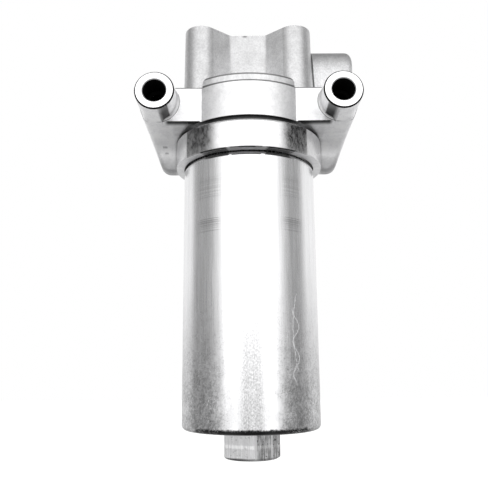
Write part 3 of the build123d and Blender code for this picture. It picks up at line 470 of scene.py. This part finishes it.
backup, t, p, co = material("backup_ring_plastic")
g = t.noise(co, 700.0, 3.0, 0.6)
c = t.ramp(g, 0.3, 0.7, 0.74, 0.84)
t.link(t.vec(c, t.math("MULTIPLY", c, 0.985), t.math("MULTIPLY", c, 0.94)), p.inputs["Base Color"])
p.inputs["Roughness"].default_value = 0.5
t.link(t.bump(g, 0.00001, 0.4), p.inputs["Normal"])
give("bowl_backup_ring", backup)

media, t, p, co = material("filter_media")
x, y, z = t.xyz(co)
angle = t.math("ARCTAN2", x, y)
wr = t.math("MULTIPLY", t.math("SINE", t.math("MULTIPLY", z, 9000.0)), 0.5)
wa = t.math("MULTIPLY", t.math("SINE", t.math("MULTIPLY", angle, 320.0)), 0.5)
weave = t.math("ADD", wr, wa)
g = t.noise(co, 500.0, 4.0, 0.6)
c = t.math("MULTIPLY", t.ramp(g, 0.3, 0.7, 0.62, 0.80), t.ramp(weave, -1.0, 1.0, 0.75, 1.0))
t.link(t.vec(c, t.math("MULTIPLY", c, 0.97), t.math("MULTIPLY", c, 0.86)), p.inputs["Base Color"])
p.inputs["Roughness"].default_value = 0.75
t.link(t.bump(weave, 0.00005, 0.5), p.inputs["Normal"])
give("pleated_media", media)


# ------------------------------------------------------------------ threads
def helix_ridge(name, base, crest, pitch, start, turns, origin, axis, side, segments=72, hand=1):
    """A V ridge wound on a cylinder: closed triangular section, tapering out at both ends. Metres."""
    axis = Vector(axis).normalized()
    u = Vector(side).normalized()
    v = axis.cross(u)
    count = int(turns * segments)
    verts, faces = [], []
    half = pitch * 0.40
    for i in range(count + 1):
        a = 2 * math.pi * i / segments
        fade = min(1.0, i / (segments * 0.4), (count - i) / (segments * 0.4))
        fade = max(fade, 0.03)
        along = start + pitch * i / segments
        d = u * math.cos(a) + v * math.sin(a) * hand
        sunk = base - (crest - base) * 0.25
        for r, w in ((sunk, -half), (base + (crest - base) * fade, -half * 0.14),
                     (base + (crest - base) * fade, half * 0.14), (sunk, half)):
            verts.append(Vector(origin) + d * r + axis * (along + w))
    for i in range(count):
        a, b = 4 * i, 4 * (i + 1)
        for k in range(4):
            faces.append((a + k, a + (k + 1) % 4, b + (k + 1) % 4, b + k))
    faces.append((3, 2, 1, 0))
    e = 4 * count
    faces.append((e, e + 1, e + 2, e + 3))
    mesh = bpy.data.meshes.new(name)
    mesh.from_pydata([tuple(q) for q in verts], [], faces)
    mesh.update()
    obj = bpy.data.objects.new(name, mesh)
    scene.collection.objects.link(obj)
    return obj


import bmesh


def tidy(obj):
    """Outward normals."""
    bm = bmesh.new()
    bm.from_mesh(obj.data)
    bmesh.ops.recalc_face_normals(bm, faces=bm.faces)
    bm.to_mesh(obj.data)
    bm.free()
    return obj


neck_thread = tidy(helix_ridge(
    "neck_thread", 33.35 * MM, 33.95 * MM, 2.0 * MM, 1.0 * MM, 5.6, (0, 0, -HEAD_H), (0, 0, 1), (0, -1, 0), 120))
neck_thread.data.materials.append(turned)
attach(neck_thread, "bowl")
for side_name, sx in (("left", -1), ("right", 1)):
    o = tidy(helix_ridge(
        "port_thread_" + side_name, 5.72 * MM, 5.42 * MM, 1.337 * MM, 0.9 * MM, 8.6,
        (sx * 46.6 * MM, -41.9 * MM, up(28.65)), (0, 1, 0), (1, 0, 0), 56))
    o.data.materials.append(cast)
    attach(o, "head")
for k, (bx, by) in enumerate(((-25, -15), (25, -15), (-25, 15), (25, 15))):
    o = tidy(helix_ridge(
        "mount_thread_%d" % (k + 1), 3.4 * MM, 3.15 * MM, 1.25 * MM, 1.3 * MM, 11.5,
        (bx * MM, by * MM, 0.0), (0, 0, -1), (1, 0, 0), 40))
    o.data.materials.append(cast)
    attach(o, "head")

# ------------------------------------------------------------------ floor and light
floor_mesh = bpy.data.meshes.new("floor")
s = 6.0
floor_mesh.from_pydata([(-s, -s, 0), (s, -s, 0), (s, s, 0), (-s, s, 0)], [], [(0, 1, 2, 3)])
floor = bpy.data.objects.new("floor", floor_mesh)
floor.location = (0, 0, -0.52)
scene.collection.objects.link(floor)
fm = bpy.data.materials.new("floor_white")
fm.use_nodes = True
t = Tree(fm.node_tree)
out = t.node("ShaderNodeOutputMaterial")
p = t.node("ShaderNodeBsdfPrincipled")
p.inputs["Base Color"].default_value = (0.9, 0.9, 0.9, 1)
p.inputs["Roughness"].default_value = 0.9
p.inputs["Specular IOR Level"].default_value = 0.1
p.inputs["Emission Color"].default_value = (1, 1, 1, 1)
p.inputs["Emission Strength"].default_value = 0.45
t.link(p.outputs[0], out.inputs["Surface"])
floor.data.materials.append(fm)
floor.visible_glossy = False

world = bpy.data.worlds.new("studio")
scene.world = world
world.use_nodes = True
t = Tree(world.node_tree)
out = t.node("ShaderNodeOutputWorld")
d = t.node("ShaderNodeTexCoord").outputs["Generated"]
x, y, z = t.xyz(d)
RAD = math.pi / 180
FRONT, SIDE, BACK, TOP, DARK = 1.7, 0.37, 0.98, 0.50, 0.10
azs = t.math("MULTIPLY", t.math("ARCTAN2", x, t.math("MULTIPLY", y, -1.0)), 1 / RAD)   # 0 towards the camera, + to its right
az = t.math("ABSOLUTE", azs)
el = t.math("MULTIPLY", t.math("ARCSINE", z), 1 / RAD)
v = t.ramp(az, 32, 73, FRONT, SIDE)
rear = t.math("MAXIMUM", t.ramp(azs, 97, 106), t.ramp(azs, -109, -116))
v = t.mix(rear, v, BACK)
v = t.mix(t.ramp(el, 32, 58), v, TOP)
v = t.mix(t.ramp(el, -8, -20), v, t.ramp(az, 60, 120, 0.42, 0.66))
v = t.mix(t.ramp(el, -66, -80), v, DARK)
light = t.node("ShaderNodeBackground")
t.link(t.vec(v, v, v), light.inputs["Color"])
light.inputs["Strength"].default_value = 1.0
plain = t.node("ShaderNodeBackground")
plain.inputs["Color"].default_value = (1, 1, 1, 1)
plain.inputs["Strength"].default_value = 1.0
pick = t.node("ShaderNodeMixShader")
t.link(t.node("ShaderNodeLightPath").outputs["Is Camera Ray"], pick.inputs["Fac"])
t.link(light.outputs[0], pick.inputs[1])
t.link(plain.outputs[0], pick.inputs[2])
t.link(pick.outputs[0], out.inputs["Surface"])
